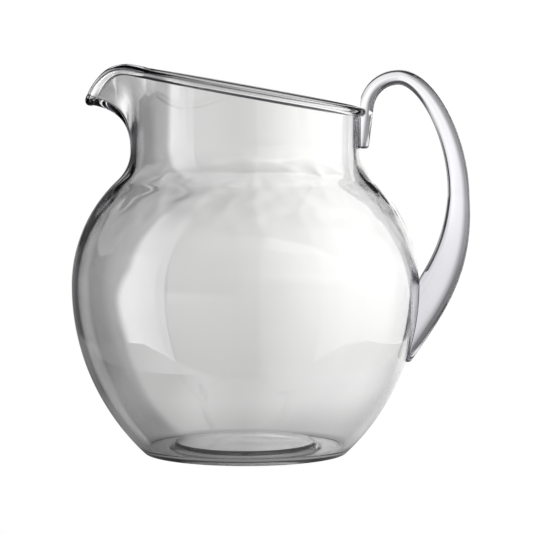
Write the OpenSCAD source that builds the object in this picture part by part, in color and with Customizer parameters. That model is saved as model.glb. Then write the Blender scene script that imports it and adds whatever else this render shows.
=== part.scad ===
// Clear globe pitcher: a blown bowl with a slanted, beaded rim and a pulled beak, and a solid
// moulded handle that is cemented to the neck and to the globe.
// The origin lies on the bowl's axis at table level. The handle points along +X, the beak along -X.

/* [Globe] */
// Widest outside diameter of the globe
globe_d = 186; // [176:1:196]
// Height of the widest level above the table
widest_h = 90; // [84:1:96]
// Outside diameter of the foot, before its edge is rounded
foot_d = 108; // [98:1:116]
// Thickness of the blown wall
wall = 3.2; // [2.6:0.1:3.8]

/* [Base] */
// Thickness of the base
base_t = 3.4; // [2.6:0.1:5]
// Rounding of the foot's outer edge
foot_round = 2; // [1:0.25:4]
// Rounding inside, where the floor turns up into the wall
heel_round = 7; // [4:0.5:10]
// Diameter of the recess under the base, at table level
punt_d = 78; // [60:1:82]
// Height of the recess under the base
punt_h = 3; // [1:0.25:5]
// How far the recess's side leans in
punt_draft = 3; // [1:0.5:6]

/* [Neck and rim] */
// Outside diameter of the neck
neck_d = 122.8; // [117:0.2:129]
// Height of the shoulder, from the globe's widest level up to the start of the straight neck
shoulder_h = 72.5; // [69:0.5:76]
// Radius of the hollow curve between globe and neck
shoulder_r = 22; // [17:0.5:27]
// Height of the rim on the axis above the start of the neck
neck_h = 34; // [30:0.5:37.5]
// Slope of the rim, down towards the handle
rim_slope = 10.2; // [7:0.1:13]
// Height of the bead round the rim
bead_h = 4.8; // [4:0.1:5.6]
// How far the bead stands out from the neck
bead_out = 2.6; // [1.8:0.1:3.2]

/* [Beak] */
// How far the beak's lip stands out from the neck
beak_reach = 24.5; // [21:0.5:27]
// How far the beak's tip lies below the rim's plane
beak_drop = 24.5; // [20:0.5:26]
// Half of the angle that the beak takes up on the neck
beak_angle = 17.5; // [15:0.5:21]
// Rise of the beak's underside at its tip
beak_rise = 11; // [2:1:20]
// Thickness of the wall at the beak's tip
beak_wall = 5.6; // [4.6:0.1:6]
// How far the lip swells out at the beak's tip
lip_swell = 0.6; // [0.2:0.1:1.2]

/* [Handle] */
// Height of the stub's lower end above the start of the neck
stub_up = 1; // [0:0.5:5]
// How far the stub stands out from the neck at its lower end
stub_out = 4.5; // [3.5:0.25:6]
// How far the stub leans out towards its top
stub_lean = 2.6; // [1.6:0.1:3]
// Rounding of the stub's lower end
stub_round = 2; // [1:0.25:3]
// Distance of the arch's crest from the neck
crest_out = 20.5; // [18:0.5:24]
// Height of the arch's middle line above the rim at the handle
crest_rise = 16; // [13:0.5:20]
// Thickness of the rod at the stub and the crest, seen from the side
rod_t = 8; // [7:0.1:9]
// Width of the rod at the stub and the crest
rod_w = 13; // [11:0.5:15]
// Distance of the grip's middle line from the globe's widest level
grip_out = 21; // [18:0.5:25]
// Height above the globe's widest level at which the grip stands out most
grip_up = 48; // [42:1:54]
// Thickness of the grip where it stands out most, seen from the side
grip_t = 11.4; // [10:0.2:13]
// Width of the grip
grip_w = 17; // [14:0.5:20]
// Depth of the handle's lower end below the globe's widest level
tail_down = 40.5; // [34:0.5:46]
// Thickness of the handle's blunt lower end
tail_lip = 2.6; // [1.6:0.1:4]
// Thickness of the handle where it meets the globe, seen from the side
tail_t = 22; // [18:0.5:25]
// Slope of the handle's back where it meets the globe
tail_slope = 55; // [51:1:59]

/* [Joints] */
// Thickness of the cement under the handle
cement_t = 0.25; // [0.15:0.05:0.4]
// Room round the bead in the handle's notch
notch_room = 0.3; // [0.2:0.1:0.6]

/* [Hidden] */
$fn = 144;

globe_r = globe_d / 2;
foot_r = foot_d / 2;
neck_r = neck_d / 2;

// Levels above the table
neck_start = widest_h + shoulder_h;
rim_level = neck_start + neck_h;
rim_at_handle = rim_level - neck_r * tan(rim_slope);
stub_low = neck_start + stub_up;
grip_level = widest_h + grip_up;
tail_level = widest_h - tail_down;

// The arc below the widest level passes through the foot's edge. Its centre is at the widest level.
foot_in = globe_r - foot_r;
lower_r = (foot_in ^ 2 + widest_h ^ 2) / (2 * foot_in);
lower_x = globe_r - lower_r;

// The arc above the widest level touches the shoulder's curve, which ends upright at the neck.
shoulder_x = neck_r + shoulder_r;
shoulder_in = shoulder_x - globe_r;
crown_r = (shoulder_in ^ 2 + shoulder_h ^ 2 - shoulder_r ^ 2) / (2 * (shoulder_r - shoulder_in));
crown_x = globe_r - crown_r;

// How much wider the floor's rise is than the recess under it, which keeps the base's thickness
punt_step = base_t / 2;

// How far each stretch of the bowl's outline runs on into the one below it
stretch_lap = 2;

// The upper neck is a loft that starts inside the turned wall, and lies this much inside both its faces.
neck_lap = 1;
neck_step = 0.1;
loft_r = neck_r - neck_step;
loft_wall = wall - 2 * neck_step;

// Power of the beak's reach by which its lip drops below the rim's plane
lip_power = 2.6;
// Rounding of the beak at its tip, at its root and in its channel, as shares of its half angle
tip_share = 0.25;
root_share = 0.6;
channel_share = 0.8;
// Columns of the loft: fine steps over the beak and its roots, wider ones round the neck
beak_span = beak_angle * sqrt((1 + tip_share + root_share) ^ 2 - tip_share ^ 2);
beak_columns = 32;
neck_columns = 56;
// Rows of the loft on each face of the wall, and steps round the rim's section
wall_rows = 6;
bead_steps = 3;
lip_steps = 8;
// A step for slopes that are measured on the loft
tiny = 0.01;

// Share of a cubic curve's length that its handles take, on a straight run and on a quarter turn
straight_pull = 1 / 3;
quarter_pull = 0.45;
quarter_handle = 0.5523;

// Steps along each stretch of the handle, and points round its section
stub_steps = 4;
arch_steps = 9;
back_steps = 12;
grip_steps = 12;
end_steps = 4;
section_points = 32;
// How square the section is: 2 is an ellipse, and more is a rounded bar
rod_square = 2.2;
grip_square = 4.5;
// Handles of the spine's curves on both sides of the grip
crest_pull = 15;
grip_pull_up = 31;
grip_pull_down = 37;
tail_pull = 34;
// Length of the handle's end that the globe cuts off
tail_spare = 12;

// Radius of the handle's notch, whose middle lies half a bead below the rim, and its lower end
notch_r = bead_out + notch_room;
notch_low = rim_at_handle - bead_h / 2 - notch_r;

function mix(a, b, t) = a + (b - a) * t;
function unit(v) = v / norm(v);
function bezier(p, t) =
    p[0] * (1 - t) ^ 3 + p[1] * 3 * t * (1 - t) ^ 2 + p[2] * 3 * t ^ 2 * (1 - t) + p[3] * t ^ 3;
function bezier_slope(p, t) =
    (p[1] - p[0]) * (1 - t) ^ 2 + (p[2] - p[1]) * 2 * t * (1 - t) + (p[3] - p[2]) * t ^ 2;

// A straight rise that starts from zero through a rounded corner
function soft_rise(v, e) = v < -e ? 0 : v > e ? v : (v + e) ^ 2 / (4 * e);

// Faces between neighbouring loops of n points. The last loop meets the first one again if closed.
function loop_faces(loops, n, closed) = [
    for (i = [0 : loops - (closed ? 1 : 2)], j = [0 : n - 1])
        let (
            a = i * n + j,
            b = i * n + (j + 1) % n,
            c = ((i + 1) % loops) * n + (j + 1) % n,
            d = ((i + 1) % loops) * n + j
        )
        each [[a, b, c], [a, c, d]]
];

// Bowl: half of the outline, grown by a distance, down to a floor with a rounded edge. Each stretch
// reaches in to the axis and runs on into the one below it.
module vessel_outline(grow, floor, edge, top) {
    edge_z = floor + edge;
    edge_x = lower_x + sqrt((lower_r + grow - edge) ^ 2 - (widest_h - edge_z) ^ 2);
    turn_z = widest_h - (widest_h - edge_z) * (lower_r + grow) / (lower_r + grow - edge);
    crown_share = (crown_r + grow) / (crown_r + shoulder_r);
    crown_top = widest_h + shoulder_h * crown_share;
    crown_top_x = mix(crown_x, shoulder_x, crown_share);
    translate([0, floor])
        square([edge_x, edge]);
    translate([edge_x, edge_z])
        circle(edge);
    translate([0, turn_z])
        square([edge_x, widest_h - turn_z]);
    intersection() {
        translate([lower_x, widest_h])
            circle(lower_r + grow);
        translate([0, turn_z])
            square([globe_d, widest_h - turn_z]);
    }
    translate([0, widest_h - stretch_lap])
        square([crown_top_x, crown_top - widest_h + stretch_lap]);
    intersection() {
        translate([crown_x, widest_h])
            circle(crown_r + grow);
        translate([0, widest_h - stretch_lap])
            square([globe_d, crown_top - widest_h + stretch_lap]);
    }
    difference() {
        translate([0, crown_top - stretch_lap])
            square([crown_top_x, neck_start - crown_top + stretch_lap]);
        translate([shoulder_x, neck_start])
            circle(shoulder_r - grow);
    }
    translate([0, neck_start - stretch_lap])
        square([neck_r + grow, top - neck_start + stretch_lap]);
}

// A low cone: the recess under the base, and the floor's rise above it
module punt_outline(bottom, wider) {
    edge = punt_d / 2 + wider;
    polygon([[0, bottom], [edge, bottom], [edge - punt_draft, bottom + punt_h], [0, bottom + punt_h]]);
}

module turned_bowl() {
    rotate_extrude()
        difference() {
            vessel_outline(0, 0, foot_round, neck_start + neck_lap);
            difference() {
                vessel_outline(-wall, base_t, heel_round, neck_start + 2 * neck_lap);
                punt_outline(base_t, punt_step);
            }
            punt_outline(0, 0);
        }
}

// Share of the beak's reach at an angle from its middle: a V with a rounded tip and rounded roots
function beak_share(angle, tip = tip_share) =
    let (u = angle / beak_angle, v = 1 + tip - sqrt(u ^ 2 + tip ^ 2))
    soft_rise(v, root_share);

// One column of the loft, in the plane of its angle: a curve from the turned neck up to the bead
function column_curve(angle, tip = tip_share) =
    let (
        share = beak_share(abs(angle - 180), tip),
        out = beak_reach * share,
        pull = mix(straight_pull, quarter_pull, share ^ 2),
        lift = mix(90, beak_rise, share),
        up = [cos(lift), sin(lift)],
        rim_z = rim_level - (loft_r + out) * cos(angle) * tan(rim_slope),
        lip = [loft_r + out, rim_z - beak_drop * share ^ lip_power],
        start = [loft_r, neck_start],
        end = lip - up * bead_h,
        reach = norm(end - start) * pull
    )
    [start, start + [0, reach], end - up * reach, end];

function on_loft(angle, t, tip = tip_share) =
    let (p = bezier(column_curve(angle, tip), t))
    [p[0] * cos(angle), p[0] * sin(angle), p[1]];
function along_column(angle, t, tip = tip_share) =
    let (d = unit(bezier_slope(column_curve(angle, tip), t)))
    [d[0] * cos(angle), d[0] * sin(angle), d[1]];

// Direction out through the wall. It turns as it would on a blunter beak, so the channel inside is rounder
// than the outside.
function wall_way(angle, t) =
    let (
        after = on_loft(angle + tiny, t, channel_share),
        before = on_loft(angle - tiny, t, channel_share)
    )
    unit(cross(after - before, along_column(angle, t, channel_share)));

// Thickness of the wall, which grows along the beak
function wall_at(share, t) = mix(loft_wall, beak_wall, share * t ^ 2);

// Rim's section over a wall, as steps out from the wall and up from the bead's foot
function rim_section(out, thickness) = [
    for (i = [1 : bead_steps])
        [out * sin(90 * i / bead_steps), bead_h / 2 * (1 - cos(90 * i / bead_steps))],
    for (i = [1 : lip_steps])
        let (a = 180 * i / lip_steps, half = (out + thickness) / 2)
        [out - half + half * cos(a), bead_h / 2 * (1 + sin(a))]
];

function loft_column(angle) =
    let (
        share = beak_share(abs(angle - 180)),
        rim = on_loft(angle, 1),
        out = wall_way(angle, 1),
        up = along_column(angle, 1),
        bead = mix(lip_swell, bead_out, (1 - min(share, 1)) ^ 4)
    )
    [
        for (k = [0 : wall_rows])
            on_loft(angle, k / wall_rows),
        for (s = rim_section(bead, wall_at(share, 1)))
            rim + out * s[0] + up * s[1],
        for (k = [wall_rows : -1 : 0])
            let (t = k / wall_rows)
            on_loft(angle, t) - wall_way(angle, t) * wall_at(share, t)
    ];

// Upper neck, slanted rim and beak, as one ring of columns
module lofted_neck() {
    neck_span = 360 - 2 * beak_span;
    angles = [
        for (i = [0 : beak_columns])
            180 + beak_span * (2 * i / beak_columns - 1),
        for (i = [1 : neck_columns - 1])
            180 + beak_span + neck_span * i / neck_columns
    ];
    points = [for (a = angles) each loft_column(a)];
    n = len(points) / len(angles);
    polyhedron(points, loop_faces(len(angles), n, true));
}

module body() {
    color([0.88, 0.9, 0.93, 0.45]) {
        turned_bowl();
        lofted_neck();
    }
}

// The handle's spine, from the stub up over the arch and down to the globe. A stop is
// [place, direction, half thickness, half width, squareness].
stub_foot = [neck_r + stub_out - rod_t / 2, stub_low];
stub_head = [stub_foot[0] + stub_lean, rim_at_handle];
stub_way = unit(stub_head - stub_foot);
crest = [neck_r + crest_out, rim_at_handle + crest_rise];
grip = [globe_r + grip_out, grip_level];
tail_way = [-cos(tail_slope), -sin(tail_slope)];
tail_back = [lower_x + sqrt(lower_r ^ 2 - (widest_h - tail_level) ^ 2) + tail_lip, tail_level];
tail = tail_back + [tail_way[1], -tail_way[0]] * tail_t / 2;

arch_curve = [
    stub_head,
    stub_head + stub_way * quarter_handle * (crest[1] - stub_head[1]),
    crest - [quarter_handle * (crest[0] - stub_head[0]), 0],
    crest
];
back_curve = [crest, crest + [crest_pull, 0], grip + [0, grip_pull_up], grip];
grip_curve = [grip, grip - [0, grip_pull_down], tail - tail_way * tail_pull, tail];

function end_stop(turn) =
    let (place = stub_foot + stub_way * stub_round * (1 - cos(turn)), less = stub_round * (1 - sin(turn)))
    [place, stub_way, rod_t / 2 - less, rod_w / 2 - less, rod_square];
function rod_stop(place, way) = [place, unit(way), rod_t / 2, rod_w / 2, rod_square];
function grip_stop(place, way, t) =
    [place, unit(way), mix(rod_t, grip_t, t) / 2, mix(rod_w, grip_w, t) / 2, mix(rod_square, grip_square, t)];
function tail_stop(place, way, t) =
    [place, unit(way), mix(grip_t, tail_t, sin(90 * t)) / 2, grip_w / 2, grip_square];

handle_stops = [
    for (i = [0 : end_steps - 1])
        end_stop(90 * i / end_steps),
    for (i = [0 : stub_steps - 1])
        rod_stop(mix(stub_foot + stub_way * stub_round, stub_head, i / stub_steps), stub_way),
    for (i = [0 : arch_steps - 1])
        rod_stop(bezier(arch_curve, i / arch_steps), bezier_slope(arch_curve, i / arch_steps)),
    for (i = [0 : back_steps - 1])
        let (t = i / back_steps)
        grip_stop(bezier(back_curve, t), bezier_slope(back_curve, t), t),
    for (i = [0 : grip_steps])
        let (t = i / grip_steps)
        tail_stop(bezier(grip_curve, t), bezier_slope(grip_curve, t), t),
    tail_stop(tail + tail_way * tail_spare, tail_way, 1)
];

function round_power(v, power) = sign(v) * abs(v) ^ power;
function handle_section(stop) = [
    for (i = [0 : section_points - 1])
        let (
            a = 360 * i / section_points,
            side = stop[2] * round_power(cos(a), 2 / stop[4]),
            place = stop[0] + [stop[1][1], -stop[1][0]] * side
        )
        [place[0], stop[3] * round_power(sin(a), 2 / stop[4]), place[1]]
];

module handle_sweep() {
    points = [for (stop = handle_stops) each handle_section(stop)];
    n = section_points;
    last = len(points) - n;
    polyhedron(points, [
        [for (j = [n - 1 : -1 : 0]) j],
        [for (j = [0 : n - 1]) last + j],
        each loop_faces(len(handle_stops), n, false)
    ]);
}

// The bar ends level on the globe
module handle_bar() {
    difference() {
        handle_sweep();
        translate([0, -grip_w, tail_level - globe_r])
            cube([globe_d, 2 * grip_w, globe_r]);
    }
}

// Room for the rim's bead, a ring that slants with the rim and follows it across the stub
module bead_notch() {
    translate([0, 0, rim_level - bead_h / 2])
        rotate([0, rim_slope, 0])
            rotate_extrude()
                translate([neck_r / cos(rim_slope), 0])
                    circle(notch_r);
}

// The solid space that the vessel takes up, grown by the cement's thickness
module vessel_space(grow, bottom, top) {
    rotate_extrude()
        intersection() {
            vessel_outline(grow, 0, foot_round, rim_level);
            translate([0, bottom])
                square([globe_d, top - bottom]);
        }
}

module handle() {
    color([0.9, 0.92, 0.95, 0.5])
        difference() {
            handle_bar();
            vessel_space(cement_t, 0, rim_level);
            bead_notch();
        }
}

// Cement: the part of the bar that lies in a thin skin on the vessel
module cement(bottom, top) {
    intersection() {
        handle_bar();
        difference() {
            vessel_space(cement_t, bottom, top);
            vessel_space(0, 0, rim_level);
        }
    }
}

// The film on the neck ends below the notch
module neck_cement() {
    color([0.8, 0.8, 0.9, 0.5])
        cement(neck_start, notch_low);
}

module globe_cement() {
    color([0.8, 0.8, 0.9, 0.5])
        cement(foot_round, neck_start - shoulder_r);
}

body();
handle();
neck_cement();
globe_cement();
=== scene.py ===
# %% [markdown]
# # A clear globe pitcher
# The real pitcher is blown from clear acrylic: a round bowl with a beaded, slanted rim and a pulled beak.
# A solid clear handle is moulded apart and cemented on in two places. The CAD model gives every piece its
# place and size. Clear material shows each facet, so this lesson turns and sweeps smooth pieces of the same
# sizes over the CAD nodes, and then gives them light to bend.

# %% The CAD frame
import math

import bmesh
import bpy
from mathutils import Matrix, Vector


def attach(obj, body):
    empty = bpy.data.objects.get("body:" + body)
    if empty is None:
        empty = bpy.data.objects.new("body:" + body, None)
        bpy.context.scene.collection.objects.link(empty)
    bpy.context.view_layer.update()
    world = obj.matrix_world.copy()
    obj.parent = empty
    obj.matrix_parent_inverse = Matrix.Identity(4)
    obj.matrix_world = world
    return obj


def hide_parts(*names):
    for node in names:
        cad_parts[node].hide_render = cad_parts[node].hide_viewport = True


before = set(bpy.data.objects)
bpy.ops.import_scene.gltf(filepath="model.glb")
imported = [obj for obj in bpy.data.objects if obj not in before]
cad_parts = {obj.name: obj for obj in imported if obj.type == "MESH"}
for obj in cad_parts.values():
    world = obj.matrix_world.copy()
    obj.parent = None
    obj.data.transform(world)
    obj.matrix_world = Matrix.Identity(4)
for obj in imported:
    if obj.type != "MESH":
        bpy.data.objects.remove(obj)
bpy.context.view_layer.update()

print("CAD nodes:", sorted(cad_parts))

# %% [markdown]
# ## Camera
# The photograph was taken with a long lens from a little above the rim, square to the handle. A long lens
# flattens perspective, so the camera stands 1.6 m away and looks 4.4 degrees down.

# %% Camera
SENSOR_WIDTH = 36
LENS = 202.3
EYE = (0.01126, -1.6, 0.22324)
LOOK_DOWN = 4.4

scene = bpy.context.scene
camera = bpy.data.objects.new("camera", bpy.data.cameras.new("camera"))
scene.collection.objects.link(camera)
camera.data.sensor_width = SENSOR_WIDTH
camera.data.lens = LENS
camera.location = EYE
camera.rotation_euler = (math.radians(90 - LOOK_DOWN), 0, 0)
scene.camera = camera
print(f"camera with a {LENS} mm lens, {LOOK_DOWN} degrees down")

# %% [markdown]
# ## The bowl's section
# A turned shape needs only half of its section. All sizes are in millimetres and follow the CAD source. The
# globe's side is two arcs that meet at its widest level, and a hollow arc leads from the upper one into the
# straight neck. Their radii follow from where they have to meet, so only the main sizes are written down.

# %% Sizes of the bowl
INSIDE_FACETS = 0.04  # the smooth side lies this far inside the CAD's, to stay within its facets
globe_r = 93 - INSIDE_FACETS
widest_h = 90
foot_r = 54
foot_round = 2
heel_round = 7
wall = 3.2
base_t = 3.4
neck_r = 61.4
shoulder_h = 72.5
shoulder_r = 22
neck_start = widest_h + shoulder_h

# the punt is the middle of the base, which is pushed up
punt_r = 39
punt_h = 3
punt_draft = 3
punt_round = 2

foot_in = globe_r - foot_r
lower_r = (foot_in**2 + widest_h**2) / (2 * foot_in)
lower_x = globe_r - lower_r
shoulder_x = neck_r + shoulder_r
shoulder_in = shoulder_x - globe_r
crown_r = (shoulder_in**2 + shoulder_h**2 - shoulder_r**2) / (2 * (shoulder_r - shoulder_in))
crown_x = globe_r - crown_r
crown_turn = math.degrees(math.atan2(shoulder_h, shoulder_x - crown_x))
print(f"lower arc {lower_r:.1f} mm, crown arc {crown_r:.1f} mm over {crown_turn:.1f} degrees")

# %% [markdown]
# ## Drawing with one vertex
# Spinning one vertex about a point draws an arc, and extruding it draws a line. A line that leads to an arc
# gets a vertex just before its end, because smooth shading would otherwise bend the whole flat face.

# %% Lines, arcs and rounded corners
HOLD = 0.4  # millimetres from a line's end to its holding vertex
CORNER_STEPS = 6


def line_to(bm, last, x, z):
    """Draws a line from the last vertex, with a holding vertex near each end."""
    start, end = last.co.copy(), Vector((x, 0, z))
    length = (end - start).length
    shares = (HOLD / length, 1 - HOLD / length, 1) if length > 3 * HOLD else (1,)
    for share in shares:
        last = bmesh.ops.extrude_vert_indiv(bm, verts=[last])["verts"][0]
        last.co = start.lerp(end, share)
    return last


def arc_to(bm, last, x, z, turn, steps):
    """Draws an arc about a centre. A positive turn goes from +X towards +Z."""
    spun = bmesh.ops.spin(
        bm, geom=[last], cent=(x, 0, z), axis=(0, -1, 0), angle=math.radians(turn), steps=steps
    )
    return spun["geom_last"][0]


def corner_to(bm, last, corner, after, radius):
    """Draws a line to a corner and rounds it towards the point after it."""
    at = Vector((corner[0], 0, corner[1]))
    way_in = (at - last.co).normalized()
    way_out = (Vector((after[0], 0, after[1])) - at).normalized()
    turn = math.degrees(way_in.angle(way_out))
    side = 1 if way_in.x * way_out.z - way_in.z * way_out.x > 0 else -1
    tangent = at - way_in * radius * math.tan(math.radians(turn / 2))
    last = line_to(bm, last, tangent.x, tangent.z)
    centre = tangent + Vector((-way_in.z, 0, way_in.x)) * side * radius
    return arc_to(bm, last, centre.x, centre.z, side * turn, CORNER_STEPS)


print(f"lines are held {HOLD} mm from their ends, corners are rounded in {CORNER_STEPS} steps")

# %% [markdown]
# ## Skins of the bowl
# The real wall has an outside and an inside that keep their distance. A skin at another distance from the
# outside has the same centres and other radii, so one function draws the outer skin, the inner skin and,
# later, the seat of the handle. A trial of it shows whether the arcs really lead to the neck.

# %% One skin
EDGE_STEPS = 10
LOWER_STEPS = 36
CROWN_STEPS = 26
SHOULDER_STEPS = 12


def draw_skin(bm, grow, floor, edge, corners):
    """Draws a skin from the axis to the start of the neck, and returns its last vertex."""
    edge_z = floor + edge
    edge_x = lower_x + math.sqrt((lower_r + grow - edge) ** 2 - (widest_h - edge_z) ** 2)
    edge_turn = math.degrees(math.atan2(widest_h - edge_z, edge_x - lower_x))
    points = [*corners, (edge_x, floor)]
    last = bm.verts.new((0, 0, points[0][1]))
    for corner, after in zip(points, points[1:]):
        last = corner_to(bm, last, corner, after, punt_round)
    last = line_to(bm, last, *points[-1])
    last = arc_to(bm, last, edge_x, edge_z, 90 - edge_turn, EDGE_STEPS)
    last = arc_to(bm, last, lower_x, widest_h, edge_turn, LOWER_STEPS)
    last = arc_to(bm, last, crown_x, widest_h, crown_turn, CROWN_STEPS)
    return arc_to(bm, last, shoulder_x, neck_start, -crown_turn, SHOULDER_STEPS)


trial = bmesh.new()
last = draw_skin(trial, 0, 0, foot_round, [])
print(f"outer skin of {len(trial.verts)} vertices, ends {last.co.x:.1f} mm out and {last.co.z:.1f} mm up")
trial.free()

# %% [markdown]
# ## Rim and beak
# The real neck is trimmed on a slant while the acrylic is soft. Its edge is rolled into a bead, and the beak
# is pulled out of the side across from the handle. Acrylic gathers there, so the wall grows thicker towards
# the tip and the bead runs out into a plain lip. The sizes of the pull follow the CAD source.

# %% Sizes of the rim and the beak
UNDER_FACETS = 0.12  # the smooth rim lies this far under the CAD's, to stay within its facets
neck_h = 34
rim_level = neck_start + neck_h - UNDER_FACETS
rim_slope = 10.2
rim_tilt = math.tan(math.radians(rim_slope))
bead_h = 4.8
bead_out = 2.6
beak_reach = 24.5
beak_drop = 24.5
beak_angle = 17.5
beak_rise = 11
beak_wall = 5.6
lip_swell = 0.6

# roundness of the beak at its tip, at its roots and in its channel, as shares of its angle
tip_share = 0.25
root_share = 0.6
channel_share = 0.8
# the lip drops late, near the tip
lip_power = 2.6
# lengths of the curves' handles, as shares of the way, on the straight neck and in the beak
straight_pull = 1 / 3
quarter_pull = 0.45
print(f"rim {rim_level:.1f} mm up at the axis, beak {beak_reach} mm past the neck")

# %% [markdown]
# Sculpting could pull such a beak, but its sizes would be lost. Here the neck is a row of columns round the
# axis. Each one is a cubic curve that starts straight up from the shoulder and ends at the lip of its own
# angle, so the slant, the beak's reach and its drop are all one formula.


# %% Columns of the neck
def mix(a, b, share):
    """A value between two others."""
    return a + (b - a) * share


def beak_share(angle, tip):
    """Share of the beak's reach at an angle from its middle: a V with a soft tip and soft roots."""
    v = 1 + tip - math.hypot(angle / beak_angle, tip)
    if abs(v) > root_share:
        return max(v, 0)
    return (v + root_share) ** 2 / (4 * root_share)


def column(angle, tip=tip_share):
    """The curve of one column, as four points in the plane of its angle. The handle is at 0 degrees."""
    share = min(beak_share(abs(angle - 180), tip), 1)
    out = beak_reach * share
    lift = math.radians(mix(90, beak_rise, share))
    up = Vector((math.cos(lift), math.sin(lift)))
    rim_z = rim_level - (neck_r + out) * math.cos(math.radians(angle)) * rim_tilt
    lip = Vector((neck_r + out, rim_z - beak_drop * share**lip_power))
    start = Vector((neck_r, neck_start))
    end = lip - up * bead_h
    pull = (end - start).length * mix(straight_pull, quarter_pull, share**2)
    return share, (start, start + Vector((0, pull)), end - up * pull, end)


def on_curve(p, t):
    """A place on a cubic curve and the direction along it there."""
    s = 1 - t
    place = p[0] * s**3 + p[1] * 3 * t * s**2 + p[2] * 3 * t**2 * s + p[3] * t**3
    slope = (p[1] - p[0]) * s**2 + (p[2] - p[1]) * 2 * t * s + (p[3] - p[2]) * t**2
    return place, slope.normalized()


def on_neck(angle, t, tip=tip_share):
    """A place on the neck's outside, and the direction up the column."""
    place, way = on_curve(column(angle, tip)[1], t)
    turn = math.radians(angle)
    around = Vector((math.cos(turn), math.sin(turn), 0))
    return around * place.x + Vector((0, 0, place.y)), around * way.x + Vector((0, 0, way.y))


under_lip = on_neck(180, 1)[0]
print(f"the beak's middle column ends {-under_lip.x:.1f} mm out and {under_lip.z:.1f} mm up")

# %% [markdown]
# ## Turning the body
# The outer and inner skins are drawn from the axis up, and the bead joins them at the top. Every vertex of
# the neck remembers its share of the way up and its place in the bead's section. One full spin then turns
# the line into a closed shell, as a lathe would.

# %% Drawing the body's section
NECK_ROWS = 36
BEAD_STEPS = 6
LIP_STEPS = 16

bm = bmesh.new()
along, in_bead, in_wall, in_rise = (
    bm.verts.layers.float.new(name) for name in ("along", "bead", "wall", "rise")
)


def neck_to(last, t, bead, through, rise):
    """Draws on to a place in the neck or the bead, which the vertex remembers."""
    last = bmesh.ops.extrude_vert_indiv(bm, verts=[last])["verts"][0]
    x = neck_r + bead_out * bead - wall * through
    last.co = (x, 0, mix(neck_start, rim_level - bead_h, t) + bead_h * rise)
    last[along], last[in_bead], last[in_wall], last[in_rise] = t, bead, through, rise
    return last


punt = [(punt_r - punt_draft, punt_h), (punt_r, 0)]
punt_step = base_t / 2  # the floor rises this far outside the punt
floor_rise = [(x + punt_step, z + base_t) for x, z in punt]
inside = draw_skin(bm, -wall, base_t, heel_round, floor_rise)
outside = draw_skin(bm, 0, 0, foot_round, punt)
# up the neck on both skins
for i in range(1, NECK_ROWS + 1):
    inside = neck_to(inside, i / NECK_ROWS, 0, 1, 0)
    outside = neck_to(outside, i / NECK_ROWS, 0, 0, 0)
# out under the bead
for i in range(1, BEAD_STEPS + 1):
    a = math.pi / 2 * i / BEAD_STEPS
    outside = neck_to(outside, 1, math.sin(a), 0, (1 - math.cos(a)) / 2)
# over its top to the inside
for i in range(1, LIP_STEPS + 1):
    a = math.pi * i / LIP_STEPS
    outside = neck_to(outside, 1, (1 + math.cos(a)) / 2, (1 - math.cos(a)) / 2, (1 + math.sin(a)) / 2)
# up the inside to meet it
for i in range(1, BEAD_STEPS):
    inside = neck_to(inside, 1, 0, 1, i / BEAD_STEPS / 2)
bm.edges.new((inside, outside))
print("section of", len(bm.verts), "vertices")

# %% Turning it
COLUMNS = 288
MERGE = 0.001  # vertices closer than this become one


def turn_round(bm, steps):
    """Spins a section once about the axis and closes it."""
    bmesh.ops.spin(
        bm, geom=bm.verts[:] + bm.edges[:], cent=(0, 0, 0), axis=(0, 0, 1),
        angle=2 * math.pi, steps=steps, use_merge=True,
    )
    bmesh.ops.remove_doubles(bm, verts=bm.verts, dist=MERGE)
    bmesh.ops.recalc_face_normals(bm, faces=bm.faces)


turn_round(bm, COLUMNS)
print("turned shell of", len(bm.faces), "faces")

# %% [markdown]
# ## Pulling the neck
# The columns are first gathered towards the beak, where the curves are tight. Then each vertex of the neck
# moves to its column's curve, and out from there by its place in the wall and the bead. The way out is
# taken from a beak with a rounder tip, so that the channel inside is round and doesn't crease.

# %% Gathering and pulling the columns
GATHER = 0.75  # 0 would leave the columns evenly spaced, and near 1 they crowd at the beak
NEARBY = 0.01  # degrees to the neighbours that give the direction across
BEAD_FADE = 4  # how soon the bead runs out towards the beak


def out_of_wall(angle, t):
    """The direction out of the wall at a place on the neck."""
    after, before = (on_neck(angle + step, t, channel_share)[0] for step in (NEARBY, -NEARBY))
    return (after - before).cross(on_neck(angle, t, channel_share)[1]).normalized()


for v in bm.verts:
    radius = math.hypot(v.co.x, v.co.y)
    if radius < HOLD:
        continue
    from_beak = math.atan2(-v.co.y, -v.co.x)
    turn = math.pi + from_beak - GATHER * math.sin(from_beak)
    v.co.x, v.co.y = radius * math.cos(turn), radius * math.sin(turn)
    if v[along] > 0:
        angle, t = math.degrees(turn), v[along]
        place, up = on_neck(angle, t)
        share = column(angle)[0]
        bead = mix(lip_swell, bead_out, (1 - share) ** BEAD_FADE)
        full = mix(wall, beak_wall, share * t**2)
        out = bead * v[in_bead] - full * v[in_wall]
        v.co = place + out_of_wall(angle, t) * out + up * bead_h * v[in_rise]

open_edges = sum(not e.is_manifold for e in bm.edges)
volume = bm.calc_volume(signed=True) / 1000  # cubic millimetres to cubic centimetres
print(f"open edges {open_edges}, acrylic in the body {volume:.1f} cubic centimetres")

# %% [markdown]
# ## From bmesh to piece
# A bmesh is only a workbench. A finished piece is an object at the origin, in metres, with its place in its
# mesh. It is shaded smooth, apart from edges that are sharp on the real piece too.

# %% Finishing a piece
MM = 0.001
SHARP = 40  # degrees


def shade_piece(mesh):
    """Shades a mesh smooth, with edges over an angle kept sharp."""
    mesh.shade_smooth()
    mesh.set_sharp_from_angle(angle=math.radians(SHARP))


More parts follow.
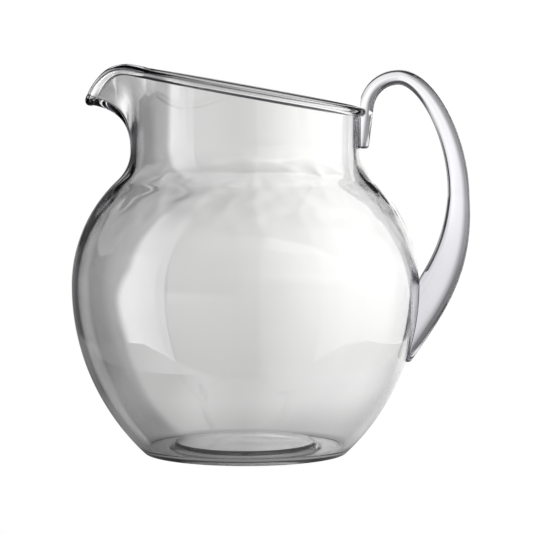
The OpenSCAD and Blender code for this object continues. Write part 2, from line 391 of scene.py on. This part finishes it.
def finish_piece(bm, name):
    """Makes a smooth piece in metres of a bmesh in millimetres."""
    for layers in (bm.verts.layers.float, bm.edges.layers.float):
        for layer in list(layers.values()):
            layers.remove(layer)
    bmesh.ops.scale(bm, vec=(MM, MM, MM), verts=bm.verts)
    mesh = bpy.data.meshes.new(name)
    bm.to_mesh(mesh)
    bm.free()
    shade_piece(mesh)
    piece = bpy.data.objects.new(name, mesh)
    scene.collection.objects.link(piece)
    print(name, len(mesh.polygons), "faces")
    return piece


body = finish_piece(bm, "pitcher_body")

# %% [markdown]
# ## Handle
# The handle is one solid bar. It is round at the stub and over the arch, and grows wider, thicker and
# square-sided down to the globe, like a bar that was pressed in a mould. A Blender curve with a bevel can
# taper, but its section keeps one shape, so this handle is swept stop by stop instead. Its spine lies in the
# plane of the handle, as a straight stub and three cubic curves.

# %% Sizes of the handle
# thickness, width and squareness of the rod over the arch, and of the grip
rod_t, rod_w, rod_square = 8, 13, 2.2
grip_t, grip_w, grip_square = 11.4, 17, 4.5
tail_t = 22

# places along the spine, from the neck, the rim and the globe
stub_up = 1
stub_out = 4.5
stub_lean = 2.6
stub_round = 2
crest_out = 20.5
crest_rise = 16
grip_out = 21
grip_up = 48
tail_down = 40.5
tail_lip = 2.6
tail_slope = 55
tail_spare = 12

# lengths of the curves' handles: a share for the arch, which is nearly round, and millimetres below it
quarter_handle = 0.5523
crest_pull = 15
grip_pull_up = 31
grip_pull_down = 37
tail_pull = 34
print(f"handle {rod_t} mm thick over the arch, {grip_t} mm at the grip, {tail_t} mm at the tail")

# %% Spine of the handle
rim_at_handle = rim_level - neck_r * rim_tilt
stub_foot = Vector((neck_r + stub_out - rod_t / 2, neck_start + stub_up))
stub_head = Vector((stub_foot.x + stub_lean, rim_at_handle))
stub_way = (stub_head - stub_foot).normalized()
crest = Vector((neck_r + crest_out, rim_at_handle + crest_rise))
grip = Vector((globe_r + grip_out, widest_h + grip_up))
tail_level = widest_h - tail_down
tail_turn = math.radians(tail_slope)
tail_way = Vector((-math.cos(tail_turn), -math.sin(tail_turn)))
globe_at_tail = lower_x + math.sqrt(lower_r**2 - (widest_h - tail_level) ** 2)
tail_back = Vector((globe_at_tail + tail_lip, tail_level))
tail = tail_back + Vector((tail_way.y, -tail_way.x)) * tail_t / 2

arch = (
    stub_head,
    stub_head + stub_way * quarter_handle * (crest.y - stub_head.y),
    crest - Vector((quarter_handle * (crest.x - stub_head.x), 0)),
    crest,
)
back = (crest, crest + Vector((crest_pull, 0)), grip + Vector((0, grip_pull_up)), grip)
lower = (grip, grip - Vector((0, grip_pull_down)), tail - tail_way * tail_pull, tail)
print(f"crest {crest.y:.1f} mm up, grip {grip.x:.1f} mm out, tail {tail_level:.1f} mm up")

# %% Stops along the spine
ROUND_STEPS = 8
STUB_STEPS = 12
ARCH_STEPS = 28
BACK_STEPS = 40
LOWER_GRIP_STEPS = 40


def handle_stops():
    """Stops from the stub to the globe: place, direction, half thickness, half width, squareness."""
    rod = (rod_t / 2, rod_w / 2, rod_square)
    # the stub's rounded end, and the straight stub
    for i in range(ROUND_STEPS):
        turn = math.pi / 2 * i / ROUND_STEPS
        less = stub_round * (1 - math.sin(turn))
        place = stub_foot + stub_way * stub_round * (1 - math.cos(turn))
        yield place, stub_way, rod_t / 2 - less, rod_w / 2 - less, rod_square
    for i in range(STUB_STEPS):
        yield (stub_foot + stub_way * stub_round).lerp(stub_head, i / STUB_STEPS), stub_way, *rod
    # over the arch, and down its back to the grip
    for i in range(ARCH_STEPS):
        yield *on_curve(arch, i / ARCH_STEPS), *rod
    for i in range(BACK_STEPS):
        t = i / BACK_STEPS
        thick, wide = mix(rod_t, grip_t, t), mix(rod_w, grip_w, t)
        yield *on_curve(back, t), thick / 2, wide / 2, mix(rod_square, grip_square, t)
    # down the grip to the tail, and a spare length that is trimmed later
    for i in range(LOWER_GRIP_STEPS + 1):
        t = i / LOWER_GRIP_STEPS
        thick = mix(grip_t, tail_t, math.sin(math.pi / 2 * t))
        yield *on_curve(lower, t), thick / 2, grip_w / 2, grip_square
    yield tail + tail_way * tail_spare, tail_way, tail_t / 2, grip_w / 2, grip_square


print(len(list(handle_stops())), "stops along the handle")

# %% [markdown]
# A ring of vertices is extruded from stop to stop. Every vertex remembers its angle on the ring, so that the
# ring can change its section on the way. A power of sine and cosine turns a circle into a rounded square.

# %% Sweeping the handle
RING = 72

bm = bmesh.new()
on_ring = bm.verts.layers.float.new("ring")
section = bmesh.ops.create_circle(bm, segments=RING, radius=1)["verts"]
for v in section:
    v[on_ring] = math.atan2(v.co.y, v.co.x)
edges = bm.edges[:]
stub_edges = edges


def power(value, exponent):
    """A power that keeps the value's sign."""
    return math.copysign(abs(value) ** exponent, value)


for number, (place, way, half_t, half_w, square) in enumerate(handle_stops()):
    if number:
        swept = bmesh.ops.extrude_edge_only(bm, edges=edges)["geom"]
        section = [g for g in swept if isinstance(g, bmesh.types.BMVert)]
        swept_edges = [g for g in swept if isinstance(g, bmesh.types.BMEdge)]
        edges = [e for e in swept_edges if all(v in section for v in e.verts)]
    for v in section:
        thick = half_t * power(math.cos(v[on_ring]), 2 / square)
        wide = half_w * power(math.sin(v[on_ring]), 2 / square)
        v.co = (place.x + way.y * thick, wide, place.y - way.x * thick)
print("swept", len(bm.faces), "faces")

# %% Ends of the handle
for end_edges in (stub_edges, edges):
    bmesh.ops.contextual_create(bm, geom=end_edges)
trimmed = bmesh.ops.bisect_plane(
    bm, geom=bm.verts[:] + bm.edges[:] + bm.faces[:], plane_co=(0, 0, tail_level), plane_no=(0, 0, -1),
    clear_outer=True,
)
tail_edges = [g for g in trimmed["geom_cut"] if isinstance(g, bmesh.types.BMEdge)]
bmesh.ops.contextual_create(bm, geom=tail_edges)
bmesh.ops.recalc_face_normals(bm, faces=bm.faces)
print("handle open edges", sum(not e.is_manifold for e in bm.edges))
handle = finish_piece(bm, "pitcher_handle")

# %% [markdown]
# ## Seats of the handle
# The handle fits the neck and the globe all over, with a quarter of a millimetre for the cement, and has a
# notch for the bead. A Boolean modifier cuts such a fit best. The cutters are the bowl's outer skin, grown
# by the cement's thickness, and a ring that slants with the rim. They go once the cut is made.

# %% Cutters
CUTTER_COLUMNS = 360
NOTCH_SIDES = 48
cement_t = 0.25
notch_room = 0.3

bm = bmesh.new()
last = draw_skin(bm, cement_t, 0, foot_round, [])
last = line_to(bm, last, neck_r + cement_t, rim_level)
line_to(bm, last, 0, rim_level)
turn_round(bm, CUTTER_COLUMNS)
seat = finish_piece(bm, "seat_cutter")

bm = bmesh.new()
upright = Matrix.Rotation(math.pi / 2, 4, "X")
bmesh.ops.create_circle(bm, segments=NOTCH_SIDES, radius=bead_out + notch_room, matrix=upright)
bmesh.ops.translate(bm, vec=(neck_r * math.hypot(1, rim_tilt), 0, 0), verts=bm.verts)
turn_round(bm, CUTTER_COLUMNS)
slant = Matrix.Rotation(math.atan(rim_tilt), 3, "Y")
bmesh.ops.rotate(bm, cent=(0, 0, 0), matrix=slant, verts=bm.verts)
bmesh.ops.translate(bm, vec=(0, 0, rim_level - bead_h / 2), verts=bm.verts)
notch = finish_piece(bm, "notch_cutter")

# %% Cutting the seats
for cutter in (seat, notch):
    modifier = handle.modifiers.new(cutter.name, "BOOLEAN")
    modifier.operation = "DIFFERENCE"
    modifier.solver = "EXACT"
    modifier.object = cutter
graph = bpy.context.evaluated_depsgraph_get()
seated = bpy.data.meshes.new_from_object(handle.evaluated_get(graph))
handle.modifiers.clear()
handle.data = seated
seated.name = "pitcher_handle"
shade_piece(seated)
# an object goes with its mesh
for cutter in (seat, notch):
    bpy.data.meshes.remove(cutter.data)
print("seated handle", len(seated.polygons), "faces")

# %% [markdown]
# ## Cement
# The two films of cement are the gap between the handle and the bowl. The handle's own seats give their
# outline: the faces that lie at the cement's distance from the bowl are copied and thickened towards it. A
# hair of air stays on both sides, because two clear faces in one place can't be told apart by a ray.

# %% Films of cement
AIR = 0.03


def gap_to_bowl(point):
    """Distance of a point from the bowl's outer skin."""
    r, z = math.hypot(point.x, point.y), point.z
    if z > neck_start:
        return r - neck_r
    if z > widest_h + shoulder_h * crown_r / (crown_r + shoulder_r):
        return shoulder_r - math.hypot(r - shoulder_x, z - neck_start)
    if z > widest_h:
        return math.hypot(r - crown_x, z - widest_h) - crown_r
    return math.hypot(r - lower_x, z - widest_h) - lower_r


def cement_film(name, bottom, top):
    """A film between two levels, copied from the handle's seat."""
    bm = bmesh.new()
    bm.from_mesh(handle.data)
    bmesh.ops.scale(bm, vec=(1 / MM,) * 3, verts=bm.verts)
    off = [
        f for f in bm.faces
        if not bottom < f.calc_center_median().z < top
        or any(abs(gap_to_bowl(v.co) - cement_t) > AIR for v in f.verts)
    ]
    bmesh.ops.delete(bm, geom=off, context="FACES")
    bmesh.ops.recalc_face_normals(bm, faces=bm.faces)
    for v in bm.verts:
        v.co += v.normal * (AIR if gap_to_bowl(v.co + v.normal) < cement_t else -AIR)
    bmesh.ops.solidify(bm, geom=bm.faces[:], thickness=cement_t - 2 * AIR)
    bmesh.ops.recalc_face_normals(bm, faces=bm.faces)
    gaps = [gap_to_bowl(v.co) for v in bm.verts]
    print(f"{name}: from {min(gaps):.3f} to {max(gaps):.3f} mm off the bowl")
    return finish_piece(bm, name)


neck_film = cement_film("neck_cement_film", neck_start, rim_at_handle - bead_h / 2)
globe_film = cement_film("globe_cement_film", 0, neck_start - shoulder_r)

# %% [markdown]
# ## Riding on the CAD body
# Nothing on the pitcher moves, so all four pieces ride on the CAD's only body. Each one stands in for the
# CAD node of the same piece.

# %% Riding on the CAD body
for piece, cad_node, slot in (
    (body, "body", "clear_acrylic"),
    (handle, "handle", "clear_acrylic"),
    (neck_film, "neck_cement", "clear_cement"),
    (globe_film, "globe_cement", "clear_cement"),
):
    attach(piece, "root")
    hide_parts(cad_node)
    print(piece.name, "stands in for", cad_node)

# %% [markdown]
# ## Surface of handled plastic
# Blowing leaves the real wall slightly wavy, most of all on the shoulder, where the bowl was drawn in to the
# neck. Handling leaves faint smears, and a hand dulls the grip. All of this could be painted, but noise on
# Object coordinates needs no image and no unwrapping. One node group makes the waves, the smears and the
# wear, and each material sets how strong they are.


# %% Small helpers for nodes
def link(tree, source, target):
    """A link from an output to an input."""
    tree.links.new(source, target)


def node(tree, kind, **inputs):
    """A node with values set on its named inputs."""
    made = tree.nodes.new(kind)
    for name, value in inputs.items():
        made.inputs[name.replace("_", " ")].default_value = value
    return made


def math_node(tree, operation, *values):
    """A math node whose inputs are numbers or other nodes' outputs."""
    made = tree.nodes.new("ShaderNodeMath")
    made.operation = operation
    for socket, value in zip(made.inputs, values):
        if isinstance(value, (int, float)):
            socket.default_value = value
        else:
            link(tree, value, socket)
    return made.outputs[0]


def map_range(tree, value, start, end, low=0, high=1, kind="SMOOTHSTEP"):
    """A value carried from one range to another."""
    made = tree.nodes.new("ShaderNodeMapRange")
    made.interpolation_type = kind
    for name, number in (("From Min", start), ("From Max", end), ("To Min", low), ("To Max", high)):
        made.inputs[name].default_value = number
    link(tree, value, made.inputs["Value"])
    return made.outputs["Result"]


def axes(tree, coordinate):
    """The X, Y and Z outputs of a texture coordinate."""
    place = tree.nodes.new("ShaderNodeTexCoord")
    split = tree.nodes.new("ShaderNodeSeparateXYZ")
    link(tree, place.outputs[coordinate], split.inputs[0])
    return split.outputs


# %% Inputs and outputs of the surface
surface = bpy.data.node_groups.new("handled_surface", "ShaderNodeTree")
for name, kind, side in (
    ("Wave Size", "NodeSocketFloat", "INPUT"),
    ("Shoulder Waves", "NodeSocketFloat", "INPUT"),
    ("Grip Wear", "NodeSocketFloat", "INPUT"),
    ("Smear", "NodeSocketFloat", "INPUT"),
    ("Clear", "NodeSocketColor", "INPUT"),
    ("Clouded", "NodeSocketColor", "INPUT"),
    ("Color", "NodeSocketColor", "OUTPUT"),
    ("Roughness", "NodeSocketFloat", "OUTPUT"),
    ("Height", "NodeSocketFloat", "OUTPUT"),
):
    surface.interface.new_socket(name, in_out=side, socket_type=kind)
given = surface.nodes.new("NodeGroupInput")
result = surface.nodes.new("NodeGroupOutput")
print("surface group with", len(surface.interface.items_tree), "sockets")

# %% Waves of the wall
# levels in metres, between which the shoulder's waves come and go
SHOULDER_FROM = (0.105, 0.14)
SHOULDER_TO = (0.145, 0.168)


def noise(tree, **inputs):
    """Noise that is fixed to the piece."""
    made = node(tree, "ShaderNodeTexNoise", **inputs)
    place = tree.nodes.new("ShaderNodeTexCoord")
    link(tree, place.outputs["Object"], made.inputs["Vector"])
    return made


waves = noise(surface, Detail=1.0, Roughness=0.4)
link(surface, given.outputs["Wave Size"], waves.inputs["Scale"])
creases = noise(surface, Scale=55.0, Detail=0.0, Distortion=0.4)
level = axes(surface, "Object")["Z"]
come = map_range(surface, level, *SHOULDER_FROM)
go = map_range(surface, level, *SHOULDER_TO, 1, 0)
on_shoulder = math_node(surface, "MULTIPLY", come, go)
on_shoulder = math_node(surface, "MULTIPLY", on_shoulder, given.outputs["Shoulder Waves"])
height = math_node(surface, "MULTIPLY_ADD", creases.outputs["Fac"], on_shoulder, waves.outputs["Fac"])
link(surface, height, result.inputs["Height"])
print("waves on the shoulder from", SHOULDER_FROM[0], "to", SHOULDER_TO[1], "m")

# %% Smears and wear
SMUDGED = (0.5, 0.75)  # noise in this range is a smear
HELD = (0.15, 0.1)  # levels in metres, between which a hand holds the grip more and more
CLOUDED_BY_SMEAR = 0.25

smears = noise(surface, Scale=38.0, Detail=4.0, Roughness=0.6, Distortion=0.8)
smudge = map_range(surface, smears.outputs["Fac"], *SMUDGED)
roughness = math_node(surface, "MULTIPLY", smudge, given.outputs["Smear"])
link(surface, roughness, result.inputs["Roughness"])

worn = math_node(surface, "MULTIPLY", map_range(surface, level, *HELD), given.outputs["Grip Wear"])
clouding = math_node(surface, "MULTIPLY_ADD", smudge, CLOUDED_BY_SMEAR, worn)
tint = surface.nodes.new("ShaderNodeMix")
tint.data_type = "RGBA"
link(surface, clouding, tint.inputs["Factor"])
link(surface, given.outputs["Clear"], tint.inputs["A"])
link(surface, given.outputs["Clouded"], tint.inputs["B"])
link(surface, tint.outputs["Result"], result.inputs["Color"])
print("surface group with", len(surface.nodes), "nodes")

# %% [markdown]
# ## Clear acrylic and cement
# Acrylic bends light by 1.49 and is water clear. A thick stretch, such as an edge seen end on, has a cool
# violet cast, so the tint is an absorption inside and not a colour on the surface. The blown body and the
# moulded handle are the same plastic with different waves and wear. The cured cement is a little cloudy and
# more violet.

# %% Materials
ACRYLIC_IOR = 1.49


def clear_material(name, waves, shoulder, wear, smear, clear, clouded, cast, density):
    """Clear plastic with its waves, smears and the cast of its thickness."""
    made = bpy.data.materials.new(name)
    made.use_nodes = True
    tree = made.node_tree
    shader = tree.nodes["Principled BSDF"]
    shader.inputs["IOR"].default_value = ACRYLIC_IOR
    shader.inputs["Transmission Weight"].default_value = 1
    handled = tree.nodes.new("ShaderNodeGroup")
    handled.node_tree = surface
    wave_size, wave_height = waves
    for socket, value in (
        ("Wave Size", wave_size),
        ("Shoulder Waves", shoulder),
        ("Grip Wear", wear),
        ("Smear", smear),
        ("Clear", (*clear, 1)),
        ("Clouded", (*clouded, 1)),
    ):
        handled.inputs[socket].default_value = value
    link(tree, handled.outputs["Color"], shader.inputs["Base Color"])
    link(tree, handled.outputs["Roughness"], shader.inputs["Roughness"])
    bump = node(tree, "ShaderNodeBump", Strength=1.0, Distance=wave_height)
    link(tree, handled.outputs["Height"], bump.inputs["Height"])
    link(tree, bump.outputs["Normal"], shader.inputs["Normal"])
    depth = node(tree, "ShaderNodeVolumeAbsorption", Color=(*cast, 1), Density=density)
    link(tree, depth.outputs["Volume"], tree.nodes["Material Output"].inputs["Volume"])
    return made


blown = clear_material(
    "blown_acrylic", waves=(22, 0.0002), shoulder=4, wear=0, smear=0.03,
    clear=(0.995, 0.995, 0.995), clouded=(0.97, 0.97, 0.97), cast=(0.8, 0.796, 0.86), density=27,
)
moulded = clear_material(
    "moulded_acrylic", waves=(30, 0.0001), shoulder=0, wear=0.8, smear=0.04,
    clear=(0.995, 0.995, 0.995), clouded=(0.84, 0.84, 0.84), cast=(0.8, 0.796, 0.875), density=45,
)
cement = clear_material(
    "cured_cement", waves=(400, 0.00005), shoulder=0, wear=0, smear=0.12,
    clear=(0.93, 0.93, 0.97), clouded=(0.85, 0.85, 0.92), cast=(0.6, 0.58, 0.8), density=200,
)
for piece, finish in ((body, blown), (handle, moulded), (neck_film, cement), (globe_film, cement)):
    piece.data.materials.clear()
    piece.data.materials.append(finish)
    print(piece.name, "is made of", finish.name)

# %% [markdown]
# ## Studio
# Clear things are lit by what stands around them, and in an all-white room a clear pitcher would have no
# outline. So the acrylic sees a graded room, and only the camera sees plain white. Behind the pitcher hangs
# a low backdrop that is grey on the left and pale on the right. Above it, below it and on both its sides the
# room is dark, and that darkness draws the outline. In front the room is lit. All this is painted on the
# world by direction, which takes two colour ramps round the room and no set to build.

# %% Lights round the room
# degrees from the camera, left is negative, and the light from there
AT_EYE_LEVEL = (
    # the backdrop's left half, and the dark beside it
    (-180, 0.74), (-177, 0.57), (-175, 0.41), (-172, 0.37), (-168, 0.36), (-163, 0.2), (-155, 0.1),
    (-95, 0.04),
    # the lit room in front
    (-85, 0.5), (-55, 1.6), (-35, 1.4), (-20, 1.0), (-5, 0.55), (20, 0.6), (50, 1.1), (85, 1.6), (112, 1.2),
    # a dark gap, and the backdrop's right half
    (124, 0.1), (146, 0.04),
    (151, 0.9), (170, 1.24), (177, 1.09), (180, 0.77),
)
HIGH_AND_LOW = (
    (-180, 0.04), (-95, 0.03),
    (-85, 0.5), (-50, 1.5), (-30, 1.3), (0, 0.6), (50, 1.0), (90, 1.3), (115, 0.8),
    (126, 0.1), (180, 0.04),
)
BRIGHTEST = 2
# blue is a little weaker than red and green in the light, and a little stronger in the dark
BLUE_SHARE = 0.972
BLUE_IN_DARK = 0.008


def room_ramp(tree, turn, lights):
    """A colour ramp round the room."""
    made = tree.nodes.new("ShaderNodeValToRGB")
    stops = made.color_ramp.elements
    while len(stops) < len(lights):
        stops.new(0.5)
    for stop, (degrees, light) in zip(stops, lights):
        blue = BLUE_SHARE * light + BLUE_IN_DARK
        stop.position = degrees / 360 + 0.5
        stop.color = (light / BRIGHTEST, light / BRIGHTEST, blue / BRIGHTEST, 1)
    link(tree, turn, made.inputs["Fac"])
    return made.outputs["Color"]


print(len(AT_EYE_LEVEL), "stops at eye level,", len(HIGH_AND_LOW), "above and below")

# %% Colour of the room
# ranges of the direction's height, in which eye level gives way to what is above and below
LEVEL_TOP = (0.13, 0.22)
LEVEL_BOTTOM = (-0.25, -0.36)

world = bpy.data.worlds.new("studio")
scene.world = world
world.use_nodes = True
tree = world.node_tree
tree.nodes.clear()
way = axes(tree, "Generated")
turn = math_node(tree, "ARCTAN2", way["X"], math_node(tree, "MULTIPLY", way["Y"], -1))
turn = map_range(tree, turn, -math.pi, math.pi, kind="LINEAR")
above = map_range(tree, way["Z"], *LEVEL_TOP)
below = map_range(tree, way["Z"], *LEVEL_BOTTOM)
room_colour = tree.nodes.new("ShaderNodeMix")
room_colour.data_type = "RGBA"
link(tree, math_node(tree, "MAXIMUM", above, below), room_colour.inputs["Factor"])
link(tree, room_ramp(tree, turn, AT_EYE_LEVEL), room_colour.inputs["A"])
link(tree, room_ramp(tree, turn, HIGH_AND_LOW), room_colour.inputs["B"])
room = tree.nodes.new("ShaderNodeBackground")
link(tree, room_colour.outputs["Result"], room.inputs["Color"])
print("room painted with", len(tree.nodes), "nodes")

# %% [markdown]
# A real backdrop is never even. This one is brightest just under the horizon and falls off below and above
# it, its upper left corner is in shade, and the floor towards the pitcher is darker.

# %% Strength of the room
# ranges of the direction's height or side, and the light at both their ends
HORIZON_RISE = (-0.118, -0.062, 0.86, 1.04)
HORIZON_FALL = (-0.06, -0.03, 1, 0.92)
CORNER_SIDE = (-0.1, 0.01, 0.4, 0)
CORNER_UP = (-0.03, 0.02)
FLOOR = (-0.6, -0.12, 0.7 * BRIGHTEST, BRIGHTEST)


def camera_sees(tree, seen, otherwise):
    """One shader for what the camera sees directly, and another for all else."""
    path = tree.nodes.new("ShaderNodeLightPath")
    either = tree.nodes.new("ShaderNodeMixShader")
    link(tree, path.outputs["Is Camera Ray"], either.inputs[0])
    link(tree, otherwise.outputs[0], either.inputs[1])
    link(tree, seen.outputs[0], either.inputs[2])
    return either.outputs[0]


rise = map_range(tree, way["Z"], *HORIZON_RISE, kind="LINEAR")
fall = map_range(tree, way["Z"], *HORIZON_FALL)
leftwards = map_range(tree, way["X"], *CORNER_SIDE)
corner = math_node(tree, "MULTIPLY", leftwards, map_range(tree, way["Z"], *CORNER_UP))
strength = math_node(tree, "MULTIPLY", rise, fall)
strength = math_node(tree, "MULTIPLY", strength, math_node(tree, "SUBTRACT", 1, corner))
strength = math_node(tree, "MULTIPLY", strength, map_range(tree, way["Z"], *FLOOR))
link(tree, strength, room.inputs["Strength"])
white = node(tree, "ShaderNodeBackground", Color=(1, 1, 1, 1), Strength=1.0)
output = tree.nodes.new("ShaderNodeOutputWorld")
link(tree, camera_sees(tree, white, room), output.inputs["Surface"])
scene.view_settings.view_transform = "Standard"
print("world of", len(tree.nodes), "nodes")

# %% [markdown]
# ## Paper
# The pitcher stands on a small sheet of paper with its near corners cut off, because the edges of the sheet
# show in the globe. To the camera it is white with a faint shadow. In the acrylic it glows with painted
# shade
# instead of being lit: dark on the left, pale on the right and, as a painted shadow, dark under the foot.
# Reflections also show a painted strip of light in front of the foot. The painted shades run along the axes
# of the sheet, so no picture of it is needed.


# %% A sheet on the stage
def stage_sheet(name, corners):
    """A sheet on the stage, with an empty material."""
    bm = bmesh.new()
    bm.faces.new([bm.verts.new(corner) for corner in corners])
    mesh = bpy.data.meshes.new(name)
    bm.to_mesh(mesh)
    bm.free()
    sheet = bpy.data.objects.new(name, mesh)
    scene.collection.objects.link(sheet)
    look = bpy.data.materials.new(name)
    look.use_nodes = True
    look.node_tree.nodes.clear()
    mesh.materials.append(look)
    print("stage sheet", name)
    return sheet, look.node_tree


def across(tree, axis, *values):
    """A shade that runs across a sheet along one axis."""
    return map_range(tree, axes(tree, "Object")[axis], *values)


PAPER_LEVEL = -0.0002  # a hair below the foot, so that the two are never in one plane
left_edge = ((-0.245, 0.34), (-0.245, -0.05), (-0.2, -0.115), (-0.14, -0.133))
right_edge = [(-x, y) for x, y in reversed(left_edge)]
tree = stage_sheet("paper", [(x, y, PAPER_LEVEL) for x, y in (*left_edge, *right_edge)])[1]

# %% Paper in the acrylic
# ranges in metres, and the painted light or shade at both their ends
PAINTED_SHADE_STEPS = ((-0.13, -0.09, 0.2, 0.36), (-0.06, -0.025, 0, 0.22), (-0.02, 0.1, 0, 0.42))
TO_BACK = (0.03, 0.22, 0.68, 1)
PAINTED_SHADOW_AT_FOOT = (0.045, 0.075, 0.5, 1)
PAINTED_LIGHT_IN_FRONT = (-0.053, -0.063)
PAINTED_LIGHT_TO_RIGHT = (-0.08, 0, 1.5, 0.6)

# painted shade, not light: darker on the left and towards the front, and a painted shadow under the foot
shade = 0
for step in PAINTED_SHADE_STEPS:
    shade = math_node(tree, "ADD", shade, across(tree, "X", *step))
shade = math_node(tree, "MULTIPLY", shade, across(tree, "Y", *TO_BACK))
place = tree.nodes.new("ShaderNodeTexCoord")
distance_for_painted_shadow = tree.nodes.new("ShaderNodeVectorMath")
distance_for_painted_shadow.operation = "LENGTH"
link(tree, place.outputs["Object"], distance_for_painted_shadow.inputs[0])
shade = math_node(tree, "MULTIPLY", shade, map_range(tree, distance_for_painted_shadow.outputs["Value"], *PAINTED_SHADOW_AT_FOOT))

# a painted strip of light in front of the foot, which only reflections show
path = tree.nodes.new("ShaderNodeLightPath")
reflected = math_node(tree, "MULTIPLY", across(tree, "Y", *PAINTED_LIGHT_IN_FRONT), path.outputs["Is Glossy Ray"])
paper_light = tree.nodes.new("ShaderNodeMix")
link(tree, reflected, paper_light.inputs["Factor"])
link(tree, shade, paper_light.inputs["A"])
link(tree, across(tree, "X", *PAINTED_LIGHT_TO_RIGHT), paper_light.inputs["B"])
# the paper glows with this painted light and shade, though it is no lamp
painted_glow_in_acrylic = node(tree, "ShaderNodeEmission", Color=(1, 1, 0.985, 1))
link(tree, paper_light.outputs["Result"], painted_glow_in_acrylic.inputs["Strength"])
print("paper shaded in", len(PAINTED_SHADE_STEPS), "steps to the right")

# %% Paper as the camera sees it
GLOW = 1.08
GLOW_SHARE = 0.88

matt = node(tree, "ShaderNodeBsdfDiffuse", Color=(0.9, 0.9, 0.9, 1))
glow = node(tree, "ShaderNodeEmission", Color=(1, 1, 1, 1), Strength=GLOW)
shadowed = node(tree, "ShaderNodeMixShader", Fac=GLOW_SHARE)
link(tree, matt.outputs[0], shadowed.inputs[1])
link(tree, glow.outputs[0], shadowed.inputs[2])
output = tree.nodes.new("ShaderNodeOutputMaterial")
link(tree, camera_sees(tree, shadowed, painted_glow_in_acrylic), output.inputs["Surface"])
print(f"paper keeps {1 - GLOW_SHARE:.0%} of the shadow")

# %% [markdown]
# ## Softbox and screen
# The tall soft highlight on the globe's left is a softbox, and the pale sheen on the right is a large
# screen. Both are upright sheets of light beside the pitcher. They show only in reflections, because seen
# through the acrylic they would wash out its dark outline. The softbox is brightest towards its far edge,
# which leans as the highlight does, and fades towards its top.

# %% Softbox and screen
SHEET_BOTTOM, SHEET_TOP = -0.3, 0.9
# ranges in metres, and the light at both their ends
SOFTBOX_TO_BACK = (-0.35, -0.1, 3.5, 7.5)
SOFTBOX_FAR_EDGE = (-0.085, -0.02, 1, 0)
SOFTBOX_TO_TOP = (0.1, 0.8, 1, 0.1)
SCREEN_TO_BACK = (-0.4, 0, 1.4, 2.2)
# ranges of height in metres, and how far the softbox's edge comes forward at both their ends
LEAN_UPWARDS = (0.04, 0.2, 0, 0.06)
LEAN_DOWNWARDS = (0.08, -0.1, 0, 0.02)


def light_sheet(name, x, near, far):
    """An upright sheet of light that only reflections show, and the place for its strength."""
    ends = ((near, SHEET_BOTTOM), (far, SHEET_BOTTOM), (far, SHEET_TOP), (near, SHEET_TOP))
    sheet, tree = stage_sheet(name, [(x, y, z) for y, z in ends])
    sheet.visible_camera = False
    sheet.visible_transmission = False
    light = node(tree, "ShaderNodeEmission", Color=(1, 1, 1, 1))
    output = tree.nodes.new("ShaderNodeOutputMaterial")
    link(tree, light.outputs[0], output.inputs["Surface"])
    return tree, light.inputs["Strength"]


tree, softbox_strength = light_sheet("softbox", x=-0.4, near=-0.35, far=-0.02)
lean = math_node(tree, "ADD", across(tree, "Z", *LEAN_UPWARDS), across(tree, "Z", *LEAN_DOWNWARDS))
leaning = math_node(tree, "ADD", axes(tree, "Object")["Y"], lean)
far_edge = map_range(tree, leaning, *SOFTBOX_FAR_EDGE)
light = math_node(tree, "MULTIPLY", across(tree, "Y", *SOFTBOX_TO_BACK), far_edge)
light = math_node(tree, "MULTIPLY", light, across(tree, "Z", *SOFTBOX_TO_TOP))
link(tree, light, softbox_strength)

tree, screen_strength = light_sheet("screen", x=0.45, near=-0.4, far=0.4)
link(tree, across(tree, "Y", *SCREEN_TO_BACK), screen_strength)
